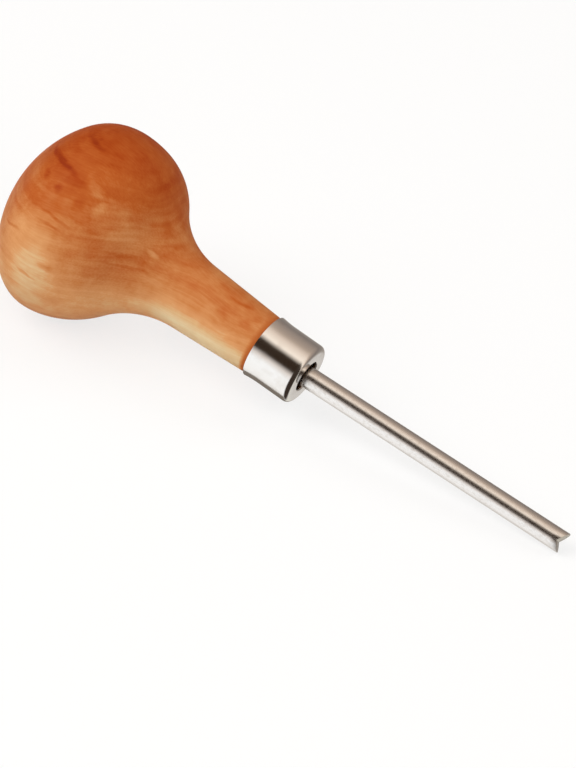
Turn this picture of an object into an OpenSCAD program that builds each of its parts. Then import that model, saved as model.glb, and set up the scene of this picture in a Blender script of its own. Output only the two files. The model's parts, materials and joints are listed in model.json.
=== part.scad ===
// Bezel pusher: a plated steel rod with a V-notched end, set in a turned wooden mushroom handle
// behind a plated ferrule. The tool lies as it rests on a bench, on its knob and on its tip.

/* [Knob] */
// Diameter of the knob at its widest ring
knob_d = 38.6; // [30:0.1:46]
// Distance from the widest ring to the back of the ferrule
knob_reach = 41.2; // [36:0.1:50]
// Radius of the palm dome
dome_r = 23.9; // [21:0.1:40]
// Radius that turns the dome over to the widest ring
shoulder_r = 10.4; // [6:0.1:12]
// Radius that leads from the widest ring towards the neck
under_r = 16.4; // [12:0.1:18]

/* [Neck] */
// Diameter of the neck where it meets the ferrule
neck_d = 11.6; // [11.4:0.1:12.4]
// Angle between the neck's side and the handle's axis
neck_slope = 3.5; // [0:0.1:6]
// Radius of the hollow between the knob and the neck
cove_r = 17; // [10:0.1:20]
// Length of the bevel that ends the neck
bevel_l = 0.8; // [0.2:0.1:1.5]
// Diameter of the neck at the foot of that bevel
bevel_d = 11.2; // [11:0.1:11.4]

/* [Ferrule] */
// Outside diameter of the ferrule
ferrule_d = 12; // [11.6:0.1:12.2]
// Length of the ferrule
ferrule_l = 9.7; // [8:0.1:16]
// Thickness of the ferrule's wall
ferrule_wall = 0.55; // [0.45:0.05:0.8]
// Radius of the ferrule's front edge
ferrule_round = 1.1; // [0.9:0.1:2]
// Radius of the curve that flares the ferrule's back end
flare_r = 20; // [10:1:40]
// Length of the flare
flare_l = 2.9; // [1:0.1:4]
// Diameter of the eye that the rod comes out of
eye_d = 6; // [5.8:0.1:6.6]
// Radius of the eye's front edge
eye_round = 0.25; // [0.1:0.05:0.4]

/* [Rod] */
// Diameter of the rod
rod_d = 4; // [3.8:0.1:5]
// Length of the rod in front of the ferrule
rod_free = 55.4; // [30:0.1:80]
// Angle by which the lying rod leans up from the handle's axis
rod_lean = 2.7; // [0:0.1:3]
// Depth of the notch in the rod's end
notch_depth = 1.25; // [0.8:0.05:2]
// Angle between the two faces of the notch
notch_angle = 120; // [90:1:140]
// Distance from the rod's axis to the bottom of the notch
notch_offset = 0.25; // [0:0.05:0.6]
// Turn of the notch about the rod's axis, from straight up
notch_turn = 40; // [0:1:60]
// Size of the bevel around the rod's end
tip_bevel = 0.1; // [0.05:0.05:0.3]

/* [Tang] */
// Diameter of the tang inside the handle
tang_d = 3.2; // [2.6:0.1:3.3]
// Length of the tang
tang_l = 28; // [15:0.5:32]
// Length of the tang's pointed end
point_l = 1.5; // [0.5:0.1:3]
// Diameter left at the end of the point
point_d = 1.2; // [0.6:0.1:2]
// Thickness of the glue around the tang
glue_t = 0.15; // [0.1:0.05:0.4]
// Space between the end of the tenon and the inside of the ferrule's face
tenon_gap = 0.6; // [0.3:0.05:1]
// Space below the rod's shoulder, and between the mouth of the bore and the glue
seat_gap = 0.15; // [0.1:0.05:0.2]

/* [Hidden] */
$fn = 128;

// Each outline point is [distance from the handle's axis, place along it from the ferrule's face]
rim = [knob_d / 2, -ferrule_l - knob_reach];
under_c = rim - [under_r, 0];
shoulder_c = rim - [shoulder_r, 0];

// The dome runs into the shoulder, so the two centres are their difference in radius apart
dome_span = dome_r - shoulder_r;
dome_c = [0, rim[1] + sqrt(pow(dome_span, 2) - pow(shoulder_c[0], 2))];
dome_edge = dome_c + (shoulder_c - dome_c) * dome_r / dome_span;
dome_pole = dome_c - [0, dome_r];

// The hollow runs into the knob's underside and into the neck's straight side
neck_foot = [neck_d / 2, -ferrule_l];
neck_along = [-sin(neck_slope), cos(neck_slope)];
neck_out = [cos(neck_slope), sin(neck_slope)];
neck_edge = neck_foot - neck_along * bevel_l / cos(neck_slope);
cove_span = under_r + cove_r;
cove_rise = cove_r - (under_c - neck_foot) * neck_out;
cove_run = (under_c - neck_foot) * neck_along + sqrt(pow(cove_span, 2) - pow(cove_rise, 2));
cove_end = neck_foot + neck_along * cove_run;
cove_c = cove_end + neck_out * cove_r;
cove_start = under_c + (cove_c - under_c) * under_r / cove_span;

// The tenon stops a little behind the ferrule's face
ferrule_r = ferrule_d / 2;
tenon_r = ferrule_r - ferrule_wall;
tenon_end = -ferrule_wall - tenon_gap;
eye_r = eye_d / 2;
corner_r = ferrule_round - ferrule_wall;

// The flare leaves the ferrule's straight wall without a corner
flare_start = flare_l - ferrule_l;
flare_out = ferrule_r + flare_r - sqrt(pow(flare_r, 2) - pow(flare_l, 2));

// Places along the rod, from the ferrule's face
rod_r = rod_d / 2;
rod_seat = tenon_end + seat_gap;
tang_end = rod_seat - tang_l;
bore_r = tang_d / 2 + glue_t;
bore_end = tang_end - glue_t;
glue_top = tenon_end - seat_gap;
notch_half = notch_angle / 2;
notch_top = rod_free + rod_d;
notch_reach = (notch_top - rod_free + notch_depth) * tan(notch_half);

// The tilt that brings the knob's underside and the rod's lowest line down to one level
tip_run = rod_free - notch_depth + (rod_r * cos(notch_turn) - notch_offset) / tan(notch_half);
rest_run = tip_run * cos(rod_lean) - rim[1];
rest_rise = under_c[0] + tip_run * sin(rod_lean);
rest_tilt = asin((under_r - rod_r) / norm([rest_run, rest_rise])) + atan(rest_rise / rest_run);
rest_lift = under_r + under_c[0] * cos(rest_tilt) + rim[1] * sin(rest_tilt);

// The two ends of the lying tool, and the move that puts their middle over the origin
back_x = dome_c[1] * cos(rest_tilt) - dome_r;
tip_slope = rest_tilt - rod_lean;
tip_x = rod_free * cos(tip_slope) + rod_r * cos(notch_turn) * sin(tip_slope);
rest_shift = -(back_x + tip_x) / 2;

// Lays a piece that stands along Z down on the bench, tip towards +X
module lying() {
    translate([rest_shift, 0, rest_lift])
        rotate([0, 90 + rest_tilt, 0])
            children();
}

// Leans a piece that stands along Z to the rod's own axis
module along_rod() {
    rotate([0, -rod_lean, 0])
        children();
}

// Slice of a round from its centre, between two points on its edge
module slice(centre, radius, first, last) {
    intersection() {
        translate(centre)
            circle(r = radius);
        polygon([centre, 2 * first - centre, 2 * last - centre]);
    }
}

// Half outline of the knob and of the hollow that leads to the neck
module knob_outline() {
    slice(dome_c, dome_r, dome_pole, dome_edge);
    slice(shoulder_c, shoulder_r, dome_edge, rim);
    slice(under_c, under_r, rim, cove_start);
    difference() {
        polygon([[0, rim[1]], under_c, cove_start, cove_end, [0, cove_end[1]]]);
        translate(cove_c)
            circle(r = cove_r);
    }
}

// Half outline of the neck, its bevel and the tenon
module neck_outline() {
    polygon([
        [0, cove_end[1]],
        cove_end,
        neck_edge,
        [bevel_d / 2, -ferrule_l],
        [tenon_r, -ferrule_l],
        [tenon_r, tenon_end],
        [0, tenon_end]
    ]);
}

// The waste between a round and the square corner around it
module corner_waste(centre, corner) {
    difference() {
        polygon([centre, [corner[0], centre[1]], corner, [centre[0], corner[1]]]);
        translate(centre)
            circle(r = abs(corner[0] - centre[0]));
    }
}

// Half outline of the cap as a full block, with its round front edge and its flare
module cap_outline() {
    difference() {
        polygon([
            [0, 0],
            [ferrule_r, 0],
            [ferrule_r, flare_start],
            [flare_out, -ferrule_l],
            [0, -ferrule_l]
        ]);
        corner_waste([ferrule_r - ferrule_round, -ferrule_round], [ferrule_r, 0]);
        translate([ferrule_r + flare_r, flare_start])
            circle(r = flare_r);
    }
}

// Half outline of the room inside the cap, behind its face
module room_outline() {
    difference() {
        polygon([
            [0, -ferrule_wall],
            [tenon_r, -ferrule_wall],
            [tenon_r, -ferrule_l],
            [0, -ferrule_l]
        ]);
        corner_waste([tenon_r - corner_r, -ferrule_wall - corner_r], [tenon_r, -ferrule_wall]);
    }
}

// Half outline of the eye, with its round front edge
module eye_outline() {
    polygon([[0, -ferrule_wall], [eye_r, -ferrule_wall], [eye_r, 0], [0, 0]]);
    corner_waste([eye_r + eye_round, -eye_round], [eye_r, 0]);
}

// The bore in the handle, along the rod's axis
module bore(from, to) {
    along_rod()
        translate([0, 0, from])
            cylinder(r = bore_r, h = to - from);
}

// The rod with its tang, before the notch is cut
module rod_blank() {
    rotate_extrude()
        polygon([
            [0, tang_end],
            [point_d / 2, tang_end],
            [tang_d / 2, tang_end + point_l],
            [tang_d / 2, rod_seat],
            [rod_r, rod_seat],
            [rod_r, rod_free - tip_bevel],
            [rod_r - tip_bevel, rod_free],
            [0, rod_free]
        ]);
}

// The wedge that cuts the notch across the rod's end
module notch() {
    rotate([90, 0, -notch_turn])
        linear_extrude(height = rod_d + rod_d, center = true)
            polygon([
                [notch_offset, rod_free - notch_depth],
                [notch_offset + notch_reach, notch_top],
                [notch_offset - notch_reach, notch_top]
            ]);
}

// Turned wooden handle, bored for the tang
module handle() {
    color("peru")
        lying()
            difference() {
                rotate_extrude() {
                    knob_outline();
                    neck_outline();
                }
                bore(bore_end, 0);
            }
}

// Plated cap around the tenon
module ferrule() {
    color("gainsboro")
        lying()
            rotate_extrude()
                difference() {
                    cap_outline();
                    room_outline();
                    eye_outline();
                }
}

// Plated rod with its notched end
module pusher_rod() {
    color("silver")
        lying()
            along_rod()
                difference() {
                    rod_blank();
                    notch();
                }
}

// Cured glue between the tang and the bore
module tang_glue() {
    color("khaki")
        lying()
            difference() {
                bore(bore_end, glue_top);
                along_rod()
                    rod_blank();
            }
}

handle();
ferrule();
pusher_rod();
tang_glue();
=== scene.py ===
import json
import math

import bpy
from mathutils import Matrix, Vector


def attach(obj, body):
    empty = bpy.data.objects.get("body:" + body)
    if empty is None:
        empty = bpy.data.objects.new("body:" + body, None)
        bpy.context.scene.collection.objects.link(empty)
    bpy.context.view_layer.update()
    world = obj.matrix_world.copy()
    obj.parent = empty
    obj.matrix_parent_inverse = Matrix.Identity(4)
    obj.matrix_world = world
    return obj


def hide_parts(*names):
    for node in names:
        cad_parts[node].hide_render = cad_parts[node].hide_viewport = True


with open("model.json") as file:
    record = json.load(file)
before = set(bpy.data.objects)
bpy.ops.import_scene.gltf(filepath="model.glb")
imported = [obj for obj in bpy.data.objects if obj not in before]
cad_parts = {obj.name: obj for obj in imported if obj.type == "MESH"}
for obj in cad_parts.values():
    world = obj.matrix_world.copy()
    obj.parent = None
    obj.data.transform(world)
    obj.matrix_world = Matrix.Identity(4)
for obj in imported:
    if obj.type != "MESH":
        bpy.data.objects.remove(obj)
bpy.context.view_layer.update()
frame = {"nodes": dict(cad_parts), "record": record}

mm = 0.001
mergeGap = 0.001 * mm
noiseSpan = {"From Min": 0.3, "From Max": 0.7}  # nearly all that a noise node gives lies between these
print("frame loaded:", ", ".join(sorted(frame["nodes"])))

# how the tool lies on the bench, from the record's two mounts; every outline below has its zero at the
# ferrule's face, with the knob behind it
rest = {"seatFront": 1.1, "grainTurn": 230}  # the ferrule's straight part starts seatFront behind its face
mounts = {mount["name"]: mount for mount in frame["record"]["mounts"]}
ferruleSeat = mounts["ferrule_seat"]
handleAxis = Vector(ferruleSeat["axis"])
rodAxis = Vector(mounts["rod_shank"]["axis"])
faceAhead = rest["seatFront"] + ferruleSeat["dims"]["length_mm"] / 2
face = Vector(ferruleSeat["pos_m"]) + handleAxis * faceAhead * mm
lying = Matrix.Translation(face) @ Matrix.Rotation(math.atan2(handleAxis.x, handleAxis.z), 4, "Y")
alongRod = Matrix.Translation(face) @ Matrix.Rotation(math.atan2(rodAxis.x, rodAxis.z), 4, "Y")
# the handle's axes turned so that x looks out of the grain's flat face, y across it and z towards the knob
alongGrain = (lying @ Matrix.Rotation(math.radians(rest["grainTurn"]), 4, "Z")
              @ Matrix.Rotation(math.pi, 4, "X"))


def hexColour(text):
    # sRGB hex to the linear colour that a socket takes
    parts = [int(text[i:i + 2], 16) / 255 for i in (1, 3, 5)]
    return tuple(c / 12.92 if c <= 0.04045 else ((c + 0.055) / 1.055) ** 2.4 for c in parts) + (1.0,)


def addNode(tree, kind, inputs=None, stops=None, **settings):
    # inputs go by name, or by number where names repeat, as in a Mix node: 2 and 3 are for numbers, 4 and 5
    # for vectors, 6 and 7 for colours
    node = tree.nodes.new(kind)
    for name, value in settings.items():
        setattr(node, name, value)
    for i, (place, colour) in enumerate(stops or []):
        # a new ramp has two stops already
        stop = node.color_ramp.elements[i] if i < 2 else node.color_ramp.elements.new(place)
        stop.position, stop.color = place, hexColour(colour)
    for name, value in (inputs or {}).items():
        if isinstance(value, bpy.types.NodeSocket):
            tree.links.new(value, node.inputs[name])
        else:
            node.inputs[name].default_value = value
    return node


def newMaterial(name):
    material = bpy.data.materials.new(name)
    material.use_nodes = True
    material.node_tree.nodes.clear()
    return material, material.node_tree


def pick(piece):
    # operators act on all that is selected
    bpy.ops.object.select_all(action="DESELECT")
    piece.select_set(True)
    bpy.context.view_layer.objects.active = piece


def drawOutline(name, points):
    # one vertex after another in the XZ plane; each point is (distance from the axis, place along it) in mm
    bpy.ops.object.select_all(action="DESELECT")
    bpy.ops.mesh.primitive_plane_add(size=mm)
    piece = bpy.context.active_object
    piece.name = name
    bpy.ops.object.mode_set(mode="EDIT")
    bpy.ops.mesh.merge(type="CENTER")
    here = Vector((0, 0, 0))
    for i, (across, along) in enumerate(points):
        step = Vector((across * mm, 0, along * mm)) - here
        if i == 0:
            bpy.ops.transform.translate(value=step)
        else:
            bpy.ops.mesh.extrude_region_move(TRANSFORM_OT_translate={"value": step})
        here += step
    return piece


def turnOutline(name, points, sides):
    # turned as on a lathe, about the Z axis
    piece = drawOutline(name, points)
    bpy.ops.mesh.select_all(action="SELECT")
    bpy.ops.mesh.spin(steps=sides, angle=2 * math.pi, center=(0, 0, 0), axis=(0, 0, 1))
    bpy.ops.mesh.select_all(action="SELECT")
    bpy.ops.mesh.remove_doubles(threshold=mergeGap)
    bpy.ops.mesh.normals_make_consistent(inside=False)
    bpy.ops.object.mode_set(mode="OBJECT")
    return piece


def arc(centre, radius, start, end, steps):
    turns = [math.radians(start + (end - start) * i / steps) for i in range(steps + 1)]
    return [(centre[0] + radius * math.cos(t), centre[1] + radius * math.sin(t)) for t in turns]


def applyModifier(piece, kind, **settings):
    modifier = piece.modifiers.new(kind.lower(), kind)
    for name, value in settings.items():
        setattr(modifier, name, value)
    bpy.context.view_layer.objects.active = piece
    bpy.ops.object.modifier_apply(modifier=modifier.name)


def cutAway(piece, cutter):
    applyModifier(piece, "BOOLEAN", object=cutter, operation="DIFFERENCE", solver="EXACT")
    bpy.data.objects.remove(cutter)
    # the cut leaves double points and slivers where it crosses an edge
    pick(piece)
    bpy.ops.object.mode_set(mode="EDIT")
    bpy.ops.mesh.select_all(action="SELECT")
    bpy.ops.mesh.remove_doubles(threshold=mergeGap)
    bpy.ops.mesh.dissolve_degenerate(threshold=mergeGap)
    bpy.ops.object.mode_set(mode="OBJECT")


def softenEdges(piece, width, angle):
    applyModifier(piece, "BEVEL", width=width * mm, segments=2, limit_method="ANGLE",
                  angle_limit=math.radians(angle))


def layDown(piece, place):
    pick(piece)
    piece.matrix_world = place
    bpy.ops.object.transform_apply(location=True, rotation=True, scale=True)


def finishPiece(piece, node, material, angle):
    pick(piece)
    bpy.ops.object.shade_smooth_by_angle(angle=math.radians(angle))
    piece.data.materials.clear()
    piece.data.materials.append(material)
    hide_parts(node)
    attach(piece, "root")


# camera at the photograph's viewing angle
view = {"place": (192.174, -401.171, 312.488), "target": (1.994, -1.953, 7.816), "roll": 11.306,
        "lens": 140.625, "sensor": 36, "clipStart": 10}
lookAlong = (Vector(view["target"]) - Vector(view["place"])).to_track_quat("-Z", "Y")
turned = lookAlong.to_matrix().to_4x4() @ Matrix.Rotation(math.radians(view["roll"]), 4, "Z")
bpy.ops.object.camera_add()
camera = bpy.context.active_object
camera.matrix_world = Matrix.Translation(Vector(view["place"]) * mm) @ turned
camera.data.lens = view["lens"]
camera.data.sensor_width = view["sensor"]
camera.data.clip_start = view["clipStart"] * mm
bpy.context.scene.camera = camera
print("camera set")

# the handle, from the palm dome round to the tenon inside the ferrule
knob = {"width": 38.59, "reach": 41.2, "domeR": 23.9, "shoulderR": 10.4, "underR": 16.4, "coveR": 17.0,
        "neckWidth": 11.6, "neckSlope": 3.5, "bevelLength": 0.8, "bevelWidth": 11.2, "ferruleLength": 9.7,
        "tenonR": 5.45, "tenonEnd": -1.15, "boreR": 1.75, "boreEnd": -29.15, "boreSpare": 1.0,
        "domeSteps": 24, "curveSteps": 20, "neckSteps": 6, "sides": 128, "boreSides": 48, "smoothAngle": 30}


def handleOutline():
    back = -knob["ferruleLength"]
    rim = Vector((knob["width"] / 2, back - knob["reach"]))
    # the dome runs into the shoulder, and the shoulder into the underside
    shoulder = rim - Vector((knob["shoulderR"], 0))
    under = rim - Vector((knob["underR"], 0))
    span = knob["domeR"] - knob["shoulderR"]
    dome = Vector((0, rim.y + math.sqrt(span ** 2 - shoulder.x ** 2)))
    turnOver = math.degrees(math.atan2(shoulder.y - dome.y, shoulder.x))
    # the hollow runs into the underside and into the neck's straight side
    slope = math.radians(knob["neckSlope"])
    along = Vector((-math.sin(slope), math.cos(slope)))
    out = Vector((math.cos(slope), math.sin(slope)))
    foot = Vector((knob["neckWidth"] / 2, back))
    reach = knob["underR"] + knob["coveR"]
    rise = knob["coveR"] - (under - foot).dot(out)
    run = (under - foot).dot(along) + math.sqrt(reach ** 2 - rise ** 2)
    cove = foot + along * run + out * knob["coveR"]
    lead = cove - under
    leave = math.degrees(math.atan2(lead.y, lead.x))
    steps = knob["curveSteps"]
    points = arc(dome, knob["domeR"], -90, turnOver, knob["domeSteps"])
    points += arc(shoulder, knob["shoulderR"], turnOver, 0, steps)[1:]
    points += arc(under, knob["underR"], 0, leave, steps)[1:]
    points += arc(cove, knob["coveR"], leave + 180, 180 + knob["neckSlope"], steps)[1:]
    start = Vector(points[-1])
    edge = foot - along * (knob["bevelLength"] / math.cos(slope))
    points += [tuple(start.lerp(edge, (i + 1) / knob["neckSteps"])) for i in range(knob["neckSteps"])]
    points += [(knob["bevelWidth"] / 2, back), (knob["tenonR"], back)]
    return points + [(knob["tenonR"], knob["tenonEnd"]), (0, knob["tenonEnd"])]


handleSide = handleOutline()


def onSurface(turn, along):
    # the point of the handle's side at a turn from the grain's flat face and a distance from the ferrule's
    outline = [(-place, radius) for radius, place in handleSide]
    ahead, behind = next((b, a) for a, b in zip(outline, outline[1:]) if b[0] <= along <= a[0])
    share = (along - ahead[0]) / (behind[0] - ahead[0])
    radius = ahead[1] + share * (behind[1] - ahead[1])
    turn = math.radians(turn)
    return alongGrain @ (Vector((radius * math.cos(turn), radius * math.sin(turn), along)) * mm)


# stained beech under a satin varnish: flat growth layers that open into wide figure on the knob and close to
# streaks on the neck, pale sapwood on one side and deep orange heartwood on the other, with blotches, flecks
# and fine fibres, which are drawn about five times coarser than real ones so that they show
# the colour for the tenon's end in the ferrule's eye is painted shade of that recess
beech = {"sapToHeart": [(0.0, "#dcc9a1"), (0.2, "#d5b285"), (0.38, "#cf9460"), (0.57, "#c17b47"),
                        (0.74, "#b15a26"), (0.9, "#a24416"), (1.0, "#8f3310")],
         "layerTurn": 60, "layerTilt": 5.7, "sapSide": -2, "heartSide": 24, "sapStain": 0.41,
         "heartStain": 0.9, "wanderSize": 24, "wanderReach": 3.0, "waverSize": 4, "waverReach": 0.7,
         "markDepth": 4.5, "markLength": 0.6, "markCore": 0.2, "ringStainAndShade": 0.7, "ringLength": 0.6,
         "ringFade": 0.7, "paintedEyeShade": "#63482e", "eyeShadeFade": 1.0, "roughness": (0.4, 0.52), "specular": 0.05,
         "fibreHeight": 0.03, "fibreStrength": 0.3}
figure = {"bands": {"cell": (4.5, 26, 90), "detail": 2.0, "change": 0.055},
          "layers": {"cell": (1.1, 14, 60), "detail": 3.0, "change": 0.06},
          "blotches": {"cell": (10, 10, 14), "detail": 3.0, "change": 0.06},
          "fibres": {"cell": (0.3, 0.3, 7), "detail": 2.0, "change": 0.035},
          "mottle": {"cell": (2.4, 2.4, 2.0), "detail": 3.0, "change": 0.04}}
# marks of this piece of wood, some of the pale ones with a painted sheen of the varnish in them, each from
# one place on its surface to another: turn in degrees from the flat face, along in mm from the ferrule's
# face; a change above zero is darker, one below it paler
marks = [{"turn": (34, 8), "along": (61.5, 49.8), "width": 0.9, "change": 0.17},  # streaks on the dome
         {"turn": (46, 37), "along": (56.5, 45), "width": 2.2, "change": 0.07},
         {"turn": (45, 35), "along": (56.5, 49.5), "width": 0.7, "change": 0.07},
         {"turn": (20, 8), "along": (61, 45), "width": 3.4, "change": 0.07},
         {"turn": (11, 6), "along": (57.2, 54.6), "width": 0.9, "change": 0.15},
         {"turn": (6, 4), "along": (53, 51), "width": 1.0, "change": 0.16},
         {"turn": (5, 3), "along": (48.5, 46), "width": 0.9, "change": 0.14},
         {"turn": (-8, -9), "along": (53, 46), "width": 0.45, "change": 0.13},  # lines on the sapwood side
         {"turn": (-14, -13), "along": (52, 47), "width": 0.45, "change": 0.11},
         {"turn": (-30, -26), "along": (59.5, 54), "width": 0.45, "change": 0.15},
         # pale patches on the knob's sapwood side: pale wood with a painted sheen of the varnish
         {"turn": (-43, -44), "along": (54.5, 43), "width": 7.0, "change": -0.2},
         {"turn": (-24, -30), "along": (59.5, 43.5), "width": 8.0, "change": -0.19},
         {"turn": (-65, -65), "along": (52.5, 45.5), "width": 4.0, "change": -0.1},
         {"turn": (-46, -48), "along": (52.5, 48), "width": 0.5, "change": 0.24},
         {"turn": (-37, -41), "along": (49, 45), "width": 0.4, "change": 0.16},
         {"turn": (-12, -4), "along": (46, 31), "width": 3.5, "change": 0.04},  # bands in the hollow
         {"turn": (-26, -28), "along": (43, 31.5), "width": 4.0, "change": 0.09},
         {"turn": (-20, -8), "along": (41, 30), "width": 0.5, "change": 0.1},
         {"turn": (-14, 1), "along": (41.5, 33.5), "width": 0.5, "change": 0.08},
         {"turn": (-10, 6), "along": (46, 38.5), "width": 0.5, "change": 0.07},
         {"turn": (16, 4), "along": (47, 34), "width": 6.0, "change": -0.12},  # pale clouds, partly a painted sheen of the varnish, and pale flecks
         {"turn": (12, 50), "along": (37.5, 36), "width": 4.5, "change": -0.1},
         {"turn": (44, 72), "along": (35.5, 34.5), "width": 3.5, "change": -0.11},
         {"turn": (64, 70), "along": (47, 38), "width": 4.0, "change": -0.07},
         {"turn": (11, 11), "along": (35.2, 32.4), "width": 0.9, "change": -0.22},
         {"turn": (10, 9), "along": (45, 43), "width": 0.7, "change": -0.12},
         {"turn": (18, 16), "along": (49, 44), "width": 0.8, "change": -0.12},
         {"turn": (27, 25), "along": (54, 42), "width": 3.6, "change": -0.07},
         {"turn": (-5, -5), "along": (54, 40), "width": 5.0, "change": -0.07},
         {"turn": (-58, -64), "along": (33.5, 4), "width": 5.4, "change": -0.27},  # sapwood along the neck, made paler still by a painted sheen of the varnish on its lower side
         {"turn": (-52, -52), "along": (33.5, 20), "width": 4.6, "change": -0.1},
         {"turn": (-22, -20), "along": (36, 4), "width": 3.6, "change": -0.07},
         {"turn": (8, 8), "along": (32, 4), "width": 4.6, "change": 0.05},  # streaks on the neck
         {"turn": (34, 46), "along": (20, 13), "width": 0.6, "change": 0.09},
         {"turn": (9, 7), "along": (20.5, 16), "width": 0.8, "change": 0.08},
         {"turn": (11, 10), "along": (15.5, 11), "width": 1.1, "change": 0.1},
         {"turn": (52, 52), "along": (25, 12), "width": 2.2, "change": 0.05},
         {"turn": (26, 25), "along": (18.5, 12.5), "width": 1.5, "change": -0.06},
         {"turn": (140, 150), "along": (57, 42), "width": 5.0, "change": 0.14},  # the far side
         {"turn": (200, 208), "along": (54, 43), "width": 3.5, "change": -0.18},
         {"turn": (172, 176), "along": (58, 46), "width": 0.6, "change": 0.18},
         {"turn": (180, 184), "along": (28, 11), "width": 0.5, "change": 0.12},
         {"turn": (235, 230), "along": (50, 44), "width": 1.0, "change": 0.16}]


def varnishedBeech():
    material, tree = newMaterial("varnished beech")
    spot = addNode(tree, "ShaderNodeTexCoord").outputs["Object"]
    # the layers follow the grain's slow wander, the marks a small waver
    bent = {}
    for name in ("wander", "waver"):
        size, reach = beech[name + "Size"] * mm, beech[name + "Reach"] * mm
        drift = addNode(tree, "ShaderNodeTexNoise", {"Vector": spot, "Scale": 1 / size, "Detail": 2.0})
        shift = addNode(tree, "ShaderNodeVectorMath", {
            0: drift.outputs["Color"], 1: (2 * reach,) * 3, 2: (-reach,) * 3}, operation="MULTIPLY_ADD")
        bent[name] = addNode(tree, "ShaderNodeVectorMath", {
            0: spot, 1: shift.outputs["Vector"]}, operation="ADD").outputs["Vector"]

    # sapwood to heartwood across the layers
    layers = (alongGrain @ Matrix.Rotation(math.radians(beech["layerTurn"]), 4, "Z")
              @ Matrix.Rotation(math.radians(-beech["layerTilt"]), 4, "Y"))
    space = {"Location": layers.to_translation(), "Rotation": layers.to_euler()}
    flat = addNode(tree, "ShaderNodeMapping", {"Vector": bent["wander"], **space}, vector_type="TEXTURE")
    depth = addNode(tree, "ShaderNodeSeparateXYZ", {"Vector": flat.outputs["Vector"]})
    stain = addNode(tree, "ShaderNodeMapRange", {
        "Value": depth.outputs["X"], "From Min": beech["sapSide"] * mm, "From Max": beech["heartSide"] * mm,
        "To Min": beech["sapStain"], "To Max": beech["heartStain"]}).outputs["Result"]

    grains = {}
    for name, look in figure.items():
        cell = [size * mm for size in look["cell"]]
        place = addNode(tree, "ShaderNodeMapping", {
            "Vector": bent["wander"], "Scale": cell, **space}, vector_type="TEXTURE")
        grains[name] = addNode(tree, "ShaderNodeTexNoise", {
            "Vector": place.outputs["Vector"], "Scale": 1.0, "Detail": look["detail"]}).outputs["Fac"]
        change = addNode(tree, "ShaderNodeMapRange", {
            "Value": grains[name], **noiseSpan, "To Min": -look["change"], "To Max": look["change"]})
        stain = addNode(tree, "ShaderNodeMath", {
            0: stain, 1: change.outputs["Result"]}, operation="ADD").outputs[0]

    for mark in marks:
        start, end = (onSurface(*place) for place in zip(mark["turn"], mark["along"]))
        middle = onSurface(sum(mark["turn"]) / 2, sum(mark["along"]) / 2)
        run = (end - start).normalized()
        out = middle - alongGrain.to_translation()
        side = out.cross(run).normalized()
        facing = Matrix((side, run.cross(side), run)).transposed()
        size = (mark["width"] * mm, beech["markDepth"] * mm, (end - start).length * beech["markLength"])
        near = addNode(tree, "ShaderNodeMapping", {
            "Vector": bent["waver"], "Location": middle, "Scale": size,
            "Rotation": facing.to_euler()}, vector_type="TEXTURE")
        away = addNode(tree, "ShaderNodeVectorMath", {0: near.outputs["Vector"]}, operation="LENGTH")
        change = addNode(tree, "ShaderNodeMapRange", {
            "Value": away.outputs["Value"], "From Min": 1.0, "From Max": beech["markCore"],
            "To Min": 0.0, "To Max": mark["change"]}, interpolation_type="SMOOTHSTEP")
        stain = addNode(tree, "ShaderNodeMath", {
            0: stain, 1: change.outputs["Result"]}, operation="ADD").outputs[0]

    # stain and painted shade: the bevel beside the ferrule is darkened, partly by stain gathered there and
    # partly as painted shade where the wood meets the ferrule
    axis = addNode(tree, "ShaderNodeMapping", {
        "Vector": spot, "Location": alongGrain.to_translation(), "Rotation": alongGrain.to_euler()},
        vector_type="TEXTURE")
    along = addNode(tree, "ShaderNodeSeparateXYZ", {"Vector": axis.outputs["Vector"]})
    back = knob["ferruleLength"] * mm
    ringEnd = back + beech["ringLength"] * mm
    ring = addNode(tree, "ShaderNodeMapRange", {
        "Value": along.outputs["Z"], "From Min": ringEnd + beech["ringFade"] * mm, "From Max": ringEnd})
    stain = addNode(tree, "ShaderNodeMix", {
        0: ring.outputs["Result"], 2: stain, 3: beech["ringStainAndShade"]}).outputs[0]
    colour = addNode(tree, "ShaderNodeValToRGB", {"Fac": stain}, stops=beech["sapToHeart"])
    # painted shade: the tenon's end, deep in the ferrule's eye, is darkened to stand for the shade in that
    # recess
    inside = addNode(tree, "ShaderNodeMapRange", {
        "Value": along.outputs["Z"], "From Min": back, "From Max": back - beech["eyeShadeFade"] * mm})
    colour = addNode(tree, "ShaderNodeMix", {
        0: inside.outputs["Result"], 6: colour.outputs["Color"], 7: hexColour(beech["paintedEyeShade"])},
        data_type="RGBA")
    sheen = addNode(tree, "ShaderNodeMapRange", {
        "Value": grains["mottle"], **noiseSpan,
        "To Min": beech["roughness"][0], "To Max": beech["roughness"][1]})
    relief = addNode(tree, "ShaderNodeBump", {
        "Height": grains["fibres"], "Strength": beech["fibreStrength"],
        "Distance": beech["fibreHeight"] * mm})
    shader = addNode(tree, "ShaderNodeBsdfPrincipled", {
        "Base Color": colour.outputs[2], "Roughness": sheen.outputs["Result"],
        "Specular IOR Level": beech["specular"], "Normal": relief.outputs["Normal"]})
    addNode(tree, "ShaderNodeOutputMaterial", {"Surface": shader.outputs["BSDF"]})
    return material


# the knob was not turned quite true: one side of its underside is fuller, fading out at the dome and the neck
askew = {"turn": 140, "angle": 4.3, "from": -66, "to": -18, "width": 45,
         "share": (0, 0, 0.2, 1, 1.1, 1, 0.45, 0, 0)}


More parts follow.
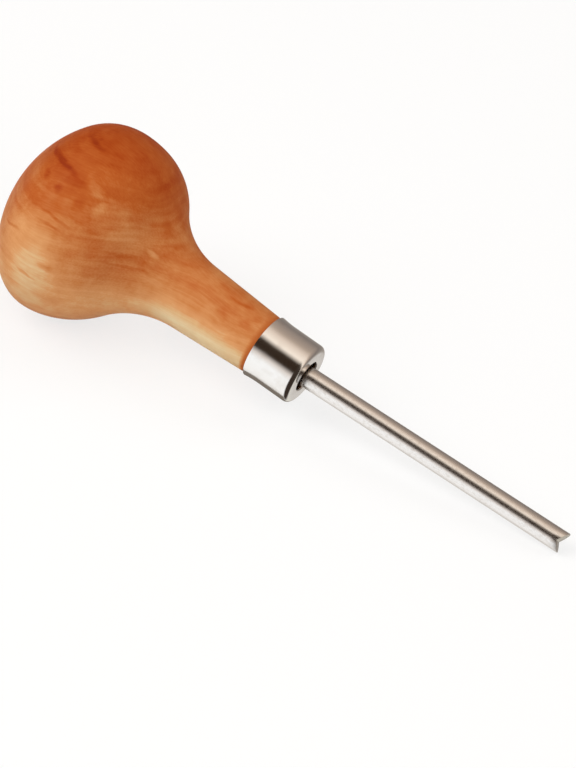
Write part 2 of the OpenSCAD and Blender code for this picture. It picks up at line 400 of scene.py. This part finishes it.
def setAskew(piece):
    height = askew["to"] - askew["from"]
    bpy.ops.object.add(type="LATTICE", location=(0, 0, (askew["from"] + height / 2) * mm))
    cage = bpy.context.active_object
    cage.rotation_euler.z = math.radians(askew["turn"])
    cage.scale = (askew["width"] * mm, askew["width"] * mm, height * mm)
    cage.data.points_u, cage.data.points_v, cage.data.points_w = 2, 2, len(askew["share"])
    cage.data.interpolation_type_u = cage.data.interpolation_type_v = "KEY_LINEAR"
    rise = math.tan(math.radians(askew["angle"])) * askew["width"] / height
    corners = len(cage.data.points) // len(askew["share"])  # points at each level
    for i, point in enumerate(cage.data.points):
        point.co_deform.z += point.co.x * rise * askew["share"][i // corners]
    applyModifier(piece, "LATTICE", object=cage)
    bpy.data.objects.remove(cage)


handle = turnOutline("handle_beech", handleSide, knob["sides"])
setAskew(handle)
boreLength = knob["tenonEnd"] - knob["boreEnd"] + knob["boreSpare"]
boreMiddle = Matrix.Translation((0, 0, (knob["boreEnd"] + boreLength / 2) * mm))
bpy.ops.mesh.primitive_cylinder_add(
    vertices=knob["boreSides"], radius=knob["boreR"] * mm, depth=boreLength * mm)
bore = bpy.context.active_object
bore.matrix_world = lying.inverted() @ alongRod @ boreMiddle
cutAway(handle, bore)
layDown(handle, lying)
finishPiece(handle, "handle", varnishedBeech(), knob["smoothAngle"])
print("handle turned:", len(handle.data.polygons), "faces")

# nickel plate over pressed brass: a bright, slightly warm mirror, softened by polishing lines that run round
# it, drawn about ten times coarser than real ones so that they show
nickel = {"wornToBright": [(0.3, "#f1eeea"), (0.5, "#f9f8f6")], "roughness": (0.2, 0.12), "cloudSize": 3.0,
          "lineGap": 0.18, "lineLength": 9, "lineHeight": 0.003, "lineStrength": 0.5}


def nickelPlate():
    material, tree = newMaterial("nickel plate")
    spot = addNode(tree, "ShaderNodeTexCoord").outputs["Object"]
    long, gap = nickel["lineLength"] * mm, nickel["lineGap"] * mm
    ringed = addNode(tree, "ShaderNodeMapping", {
        "Vector": spot, "Scale": (long, long, gap), "Location": lying.to_translation(),
        "Rotation": lying.to_euler()}, vector_type="TEXTURE")
    lines = addNode(tree, "ShaderNodeTexNoise", {
        "Vector": ringed.outputs["Vector"], "Scale": 1.0, "Detail": 2.0})
    clouds = addNode(tree, "ShaderNodeTexNoise", {
        "Vector": spot, "Scale": 1 / (nickel["cloudSize"] * mm), "Detail": 4.0})
    colour = addNode(tree, "ShaderNodeValToRGB", {"Fac": clouds.outputs["Fac"]}, stops=nickel["wornToBright"])
    rough = addNode(tree, "ShaderNodeMapRange", {
        "Value": clouds.outputs["Fac"], **noiseSpan,
        "To Min": nickel["roughness"][0], "To Max": nickel["roughness"][1]})
    relief = addNode(tree, "ShaderNodeBump", {
        "Height": lines.outputs["Fac"], "Strength": nickel["lineStrength"],
        "Distance": nickel["lineHeight"] * mm})
    shader = addNode(tree, "ShaderNodeBsdfPrincipled", {
        "Base Color": colour.outputs["Color"], "Metallic": 1.0, "Roughness": rough.outputs["Result"],
        "Normal": relief.outputs["Normal"]})
    addNode(tree, "ShaderNodeOutputMaterial", {"Surface": shader.outputs["BSDF"]})
    return material


# the ferrule is a pressed cap with an eye in its face and a slight flare at its back
cap = {"outerR": 6.0, "innerR": 5.45, "length": 9.7, "wall": 0.55, "edgeR": 1.1, "eyeR": 3.0, "eyeEdge": 0.25,
       "flareR": 20.0, "flareLength": 2.9, "eyeSteps": 6, "edgeSteps": 12, "flareSteps": 8, "innerSteps": 6,
       "sides": 128, "bevel": 0.08, "bevelAngle": 35, "smoothAngle": 35}


def capOutline():
    outer, wall, back = cap["outerR"], cap["wall"], -cap["length"]
    start = back + cap["flareLength"]
    swing = math.degrees(math.asin(cap["flareLength"] / cap["flareR"]))
    corner = (outer - cap["edgeR"], -cap["edgeR"])
    lip = (cap["eyeR"] + cap["eyeEdge"], -cap["eyeEdge"])
    points = [(cap["eyeR"], -wall)]
    points += arc(lip, cap["eyeEdge"], 180, 90, cap["eyeSteps"])
    points += arc(corner, cap["edgeR"], 90, 0, cap["edgeSteps"])
    points += arc((outer + cap["flareR"], start), cap["flareR"], 180, 180 + swing, cap["flareSteps"])
    points += [(cap["innerR"], back)]
    points += arc(corner, cap["edgeR"] - wall, 0, 90, cap["innerSteps"])
    return points + points[:1]


ferrule = turnOutline("ferrule_cap", capOutline(), cap["sides"])
softenEdges(ferrule, cap["bevel"], cap["bevelAngle"])
layDown(ferrule, lying)
finishPiece(ferrule, "ferrule", nickelPlate(), cap["smoothAngle"])
print("ferrule pressed:", len(ferrule.data.polygons), "faces")

# plated tool steel: a satin mirror with the drawn rod's fine grain under it, and grey file marks in the
# notch; the grain is drawn about five times coarser than a real one so that it shows
steel = {"wornToBright": [(0.3, "#eeeae5"), (0.5, "#f8f6f4")], "roughness": (0.34, 0.24), "grainSize": 0.35,
         "grainLength": 0.7, "grainHeight": 0.004, "grainStrength": 0.5,
         "scoredToFiled": [(0.35, "#bbb6ad"), (0.65, "#d6d1c8")], "filedRoughness": 0.26, "fileGap": 0.15,
         "fileHeight": 0.01, "fileStrength": 0.6, "filedFrom": 0.25, "filedTo": 0.4}


def platedSteel():
    material, tree = newMaterial("plated steel")
    spot = addNode(tree, "ShaderNodeTexCoord").outputs["Object"]
    turn = {"Location": alongRod.to_translation(), "Rotation": alongRod.to_euler()}
    fine, long, gap = steel["grainSize"] * mm, steel["grainLength"] * mm, steel["fileGap"] * mm
    drawn = addNode(tree, "ShaderNodeMapping", {
        "Vector": spot, "Scale": (fine, fine, long), **turn}, vector_type="TEXTURE")
    grain = addNode(tree, "ShaderNodeTexNoise", {
        "Vector": drawn.outputs["Vector"], "Scale": 1.0, "Detail": 3.0})
    colour = addNode(tree, "ShaderNodeValToRGB", {"Fac": grain.outputs["Fac"]}, stops=steel["wornToBright"])
    rough = addNode(tree, "ShaderNodeMapRange", {
        "Value": grain.outputs["Fac"], **noiseSpan,
        "To Min": steel["roughness"][0], "To Max": steel["roughness"][1]})
    relief = addNode(tree, "ShaderNodeBump", {
        "Height": grain.outputs["Fac"], "Strength": steel["grainStrength"],
        "Distance": steel["grainHeight"] * mm})
    # faces that look along the rod were filed after plating
    across = addNode(tree, "ShaderNodeMapping", {
        "Vector": spot, "Scale": (gap, gap, gap), **turn}, vector_type="TEXTURE")
    strokes = addNode(tree, "ShaderNodeTexNoise", {
        "Vector": across.outputs["Vector"], "Scale": 1.0, "Detail": 2.0})
    scored = addNode(tree, "ShaderNodeBump", {
        "Height": strokes.outputs["Fac"], "Strength": steel["fileStrength"],
        "Distance": steel["fileHeight"] * mm})
    bare = addNode(tree, "ShaderNodeValToRGB", {"Fac": strokes.outputs["Fac"]}, stops=steel["scoredToFiled"])
    outward = addNode(tree, "ShaderNodeNewGeometry").outputs["True Normal"]
    facing = addNode(tree, "ShaderNodeVectorMath", {
        0: outward, 1: alongRod.col[2].to_3d()}, operation="DOT_PRODUCT")
    cut = addNode(tree, "ShaderNodeMapRange", {
        "Value": facing.outputs["Value"], "From Min": steel["filedFrom"],
        "From Max": steel["filedTo"]}).outputs["Result"]
    tone = addNode(tree, "ShaderNodeMix", {
        0: cut, 6: colour.outputs["Color"], 7: bare.outputs["Color"]}, data_type="RGBA")
    finish = addNode(tree, "ShaderNodeMix", {0: cut, 2: rough.outputs["Result"], 3: steel["filedRoughness"]})
    slant = addNode(tree, "ShaderNodeMix", {
        0: cut, 4: relief.outputs["Normal"], 5: scored.outputs["Normal"]}, data_type="VECTOR")
    shader = addNode(tree, "ShaderNodeBsdfPrincipled", {
        "Base Color": tone.outputs[2], "Metallic": 1.0, "Roughness": finish.outputs[0],
        "Normal": slant.outputs[1]})
    addNode(tree, "ShaderNodeOutputMaterial", {"Surface": shader.outputs["BSDF"]})
    return material


# the rod, with its tang in the handle and a V filed across its end
rod = {"radius": 2.0, "free": 55.4, "seat": -1.0, "tangR": 1.6, "tangEnd": -29.0, "pointLength": 1.5,
       "pointR": 0.6, "tipBevel": 0.1, "notchDepth": 1.25, "notchAngle": 120, "notchOffset": 0.25,
       "notchTurn": 40, "endRing": 2.4, "sides": 96, "bevel": 0.05, "bevelAngle": 40, "smoothAngle": 35}


def rodOutline():
    radius, free, bevel = rod["radius"], rod["free"], rod["tipBevel"]
    tang, tangEnd, seat, ring = rod["tangR"], rod["tangEnd"], rod["seat"], rod["endRing"]
    return [(0, tangEnd), (rod["pointR"], tangEnd), (tang, tangEnd + rod["pointLength"]), (tang, seat),
            (radius, seat), (radius, seat + ring), (radius, free - ring), (radius, free - bevel),
            (radius - bevel, free), (0, free)]


def notchWedge():
    foot, top = rod["free"] - rod["notchDepth"], rod["free"] + 2 * rod["radius"]
    half = (top - foot) * math.tan(math.radians(rod["notchAngle"] / 2))
    middle = rod["notchOffset"]
    wedge = drawOutline("notch_wedge", [(middle, foot), (middle + half, top), (middle - half, top)])
    bpy.ops.mesh.select_all(action="SELECT")
    bpy.ops.mesh.edge_face_add()
    bpy.ops.transform.translate(value=(0, -2 * rod["radius"] * mm, 0))
    bpy.ops.mesh.extrude_region_move(TRANSFORM_OT_translate={"value": (0, 4 * rod["radius"] * mm, 0)})
    bpy.ops.mesh.select_all(action="SELECT")
    bpy.ops.mesh.normals_make_consistent(inside=False)
    bpy.ops.object.mode_set(mode="OBJECT")
    wedge.matrix_world = Matrix.Rotation(math.radians(-rod["notchTurn"]), 4, "Z")
    return wedge


pusher = turnOutline("rod_steel", rodOutline(), rod["sides"])
cutAway(pusher, notchWedge())
softenEdges(pusher, rod["bevel"], rod["bevelAngle"])
layDown(pusher, alongRod)
finishPiece(pusher, "pusher_rod", platedSteel(), rod["smoothAngle"])
print("rod cut:", len(pusher.data.polygons), "faces")

# cured epoxy around the tang, inside the handle: amber and glassy, clouded, with fine bubbles in its skin
glue = {"cloudedToClear": [(0.35, "#b08a48"), (0.65, "#cfb271")], "roughness": (0.4, 0.22), "cloudSize": 1.6,
        "bubbleSize": 0.4, "bubbleHeight": 0.02, "bubbleStrength": 0.4}


def curedEpoxy():
    material, tree = newMaterial("cured epoxy")
    spot = addNode(tree, "ShaderNodeTexCoord").outputs["Object"]
    clouds = addNode(tree, "ShaderNodeTexNoise", {
        "Vector": spot, "Scale": 1 / (glue["cloudSize"] * mm), "Detail": 3.0})
    bubbles = addNode(tree, "ShaderNodeTexVoronoi", {"Vector": spot, "Scale": 1 / (glue["bubbleSize"] * mm)})
    colour = addNode(tree, "ShaderNodeValToRGB", {"Fac": clouds.outputs["Fac"]}, stops=glue["cloudedToClear"])
    rough = addNode(tree, "ShaderNodeMapRange", {
        "Value": clouds.outputs["Fac"], **noiseSpan,
        "To Min": glue["roughness"][0], "To Max": glue["roughness"][1]})
    relief = addNode(tree, "ShaderNodeBump", {
        "Height": bubbles.outputs["Distance"], "Strength": glue["bubbleStrength"],
        "Distance": glue["bubbleHeight"] * mm})
    shader = addNode(tree, "ShaderNodeBsdfPrincipled", {
        "Base Color": colour.outputs["Color"], "Roughness": rough.outputs["Result"],
        "Normal": relief.outputs["Normal"]})
    addNode(tree, "ShaderNodeOutputMaterial", {"Surface": shader.outputs["BSDF"]})
    return material


glueNode = frame["nodes"]["tang_glue"]
glueNode.data.materials.clear()
glueNode.data.materials.append(curedEpoxy())
print("glue finished")

# the bench: a pale floor that turns up into a low wall all round, with the tool's soft shadow on it
stage = {"flat": 2000, "curve": 800, "curveSteps": 16, "sides": 96, "colour": "#f6f5f3", "glow": 0.75}


def paleFloor():
    material, tree = newMaterial("pale floor")
    path = addNode(tree, "ShaderNodeLightPath")
    seen = addNode(tree, "ShaderNodeMath", {
        0: path.outputs["Is Camera Ray"], 1: path.outputs["Is Transmission Ray"]}, operation="ADD")
    share = addNode(tree, "ShaderNodeMath", {0: seen.outputs[0], 1: stage["glow"]}, operation="MULTIPLY")
    matt = addNode(tree, "ShaderNodeBsdfDiffuse", {"Color": hexColour(stage["colour"])})
    white = addNode(tree, "ShaderNodeEmission", {"Color": (1, 1, 1, 1), "Strength": 1.0})
    both = addNode(tree, "ShaderNodeMixShader", {
        0: share.outputs[0], 1: matt.outputs["BSDF"], 2: white.outputs["Emission"]})
    addNode(tree, "ShaderNodeOutputMaterial", {"Surface": both.outputs["Shader"]})
    return material


flat, curve = stage["flat"], stage["curve"]
rising = arc((flat, curve), curve, -90, 0, stage["curveSteps"])
floor = turnOutline("floor", [(0, 0)] + rising, stage["sides"])
bpy.ops.object.shade_smooth()
floor.data.materials.append(paleFloor())
floor.visible_glossy = False  # the metal sees the studio below instead

# the ferrule's own shade on the bench, which only its underside mirrors
shade = {"place": (-6.1, 1.4, 0.2), "size": (17.1, 15.4), "colour": "#7a7168"}
bpy.ops.object.select_all(action="DESELECT")
bpy.ops.mesh.primitive_plane_add(size=1, location=Vector(shade["place"]) * mm)
card = bpy.context.active_object
card.name = "ferrule_shade"
card.scale = (shade["size"][0] * mm, shade["size"][1] * mm, 1)
dim, tree = newMaterial("dim card")
glow = addNode(tree, "ShaderNodeEmission", {"Color": hexColour(shade["colour"]), "Strength": 1.0})
addNode(tree, "ShaderNodeOutputMaterial", {"Surface": glow.outputs["Emission"]})
card.data.materials.append(dim)
card.visible_camera = card.visible_diffuse = card.visible_transmission = card.visible_shadow = False

# wide soft lamps for the matt surfaces
lamps = {"top": {"place": (-300, -117, 730), "size": (850, 580), "watts": 1.55, "colour": "#fff1e4"},
         "left": {"place": (-700, -700, 900), "size": (1000, 1000), "watts": 11, "colour": "#ffffff"},
         "right": {"place": (700, -700, 800), "size": (1000, 1000), "watts": 7.2, "colour": "#ffffff"},
         "rear": {"place": (500, 800, 900), "size": (1000, 1000), "watts": 6, "colour": "#ffffff"}}
for name, lamp in lamps.items():
    bpy.ops.object.light_add(type="AREA", location=Vector(lamp["place"]) * mm)
    light = bpy.context.active_object
    light.name = "light_" + name
    light.rotation_euler = (-Vector(lamp["place"])).to_track_quat("-Z", "Y").to_euler()
    light.data.shape = "RECTANGLE"
    light.data.size, light.data.size_y = lamp["size"][0] * mm, lamp["size"][1] * mm
    light.data.energy = lamp["watts"]
    light.data.color = hexColour(lamp["colour"])[:3]
    light.visible_camera = False
    light.visible_glossy = False

# the studio that the metal mirrors, by the angle round the tool from its front side over the top: white bench
# below, dark room in front, long warm light box above, and a dim wall behind; past the tool's tip it is dark
studio = {"around": [(-180, "#d0cbc6"), (-166, "#dcd7cc"), (-148, "#cdc8c3"), (-126, "#e2deda"),
                     (-108, "#faf8f6"), (-50, "#ffffff"), (-31, "#e2d8d1"), (-15, "#33271e"),
                     (16, "#33271e"), (32, "#fff1e2"), (58, "#e2cfbf"), (74, "#b8a596"), (84, "#a8978a"),
                     (128, "#807670"), (150, "#8d847d"), (166, "#a49c95"), (180, "#d0cbc6")],
          "pastTip": "#392f28", "tipFrom": 0.02, "tipTo": 0.22, "tipLow": -158, "tipHigh": 30, "tipFade": 16,
          "ambient": "#5f5c58"}


def fillRoom(tree):
    way = addNode(tree, "ShaderNodeTexCoord").outputs["Generated"]
    turned = addNode(tree, "ShaderNodeMapping", {
        "Vector": way, "Rotation": alongGrain.to_euler()}, vector_type="TEXTURE")
    part = addNode(tree, "ShaderNodeSeparateXYZ", {"Vector": turned.outputs["Vector"]})
    angle = addNode(tree, "ShaderNodeMath", {
        0: part.outputs["Y"], 1: part.outputs["X"]}, operation="ARCTAN2").outputs[0]
    share = addNode(tree, "ShaderNodeMapRange", {"Value": angle, "From Min": -math.pi, "From Max": math.pi})
    stops = [((turn + 180) / 360, colour) for turn, colour in studio["around"]]
    around = addNode(tree, "ShaderNodeValToRGB", {"Fac": share.outputs["Result"]}, stops=stops)
    pastTip = addNode(tree, "ShaderNodeMapRange", {
        "Value": part.outputs["Z"], "From Min": -studio["tipFrom"], "From Max": -studio["tipTo"]})
    low, high, fade = (math.radians(studio[name]) for name in ("tipLow", "tipHigh", "tipFade"))
    above = addNode(tree, "ShaderNodeMapRange", {"Value": angle, "From Min": low, "From Max": low + fade})
    below = addNode(tree, "ShaderNodeMapRange", {"Value": angle, "From Min": high, "From Max": high - fade})
    between = addNode(tree, "ShaderNodeMath", {
        0: above.outputs["Result"], 1: below.outputs["Result"]}, operation="MULTIPLY")
    dark = addNode(tree, "ShaderNodeMath", {
        0: pastTip.outputs["Result"], 1: between.outputs[0]}, operation="MULTIPLY")
    mirrored = addNode(tree, "ShaderNodeMix", {
        0: dark.outputs[0], 6: around.outputs["Color"], 7: hexColour(studio["pastTip"])}, data_type="RGBA")
    path = addNode(tree, "ShaderNodeLightPath")
    felt = addNode(tree, "ShaderNodeMix", {
        0: path.outputs["Is Glossy Ray"], 6: hexColour(studio["ambient"]), 7: mirrored.outputs[2]},
        data_type="RGBA")
    seen = addNode(tree, "ShaderNodeMath", {
        0: path.outputs["Is Camera Ray"], 1: path.outputs["Is Transmission Ray"]}, operation="ADD")
    tone = addNode(tree, "ShaderNodeMix", {
        0: seen.outputs[0], 6: felt.outputs[2], 7: (1, 1, 1, 1)}, data_type="RGBA")
    sky = addNode(tree, "ShaderNodeBackground", {"Color": tone.outputs[2], "Strength": 1.0})
    addNode(tree, "ShaderNodeOutputWorld", {"Surface": sky.outputs["Background"]})


room = bpy.data.worlds.new("room")
bpy.context.scene.world = room
room.use_nodes = True
room.node_tree.nodes.clear()
fillRoom(room.node_tree)
bpy.context.scene.view_settings.view_transform = "Standard"
print("stage and lights set")
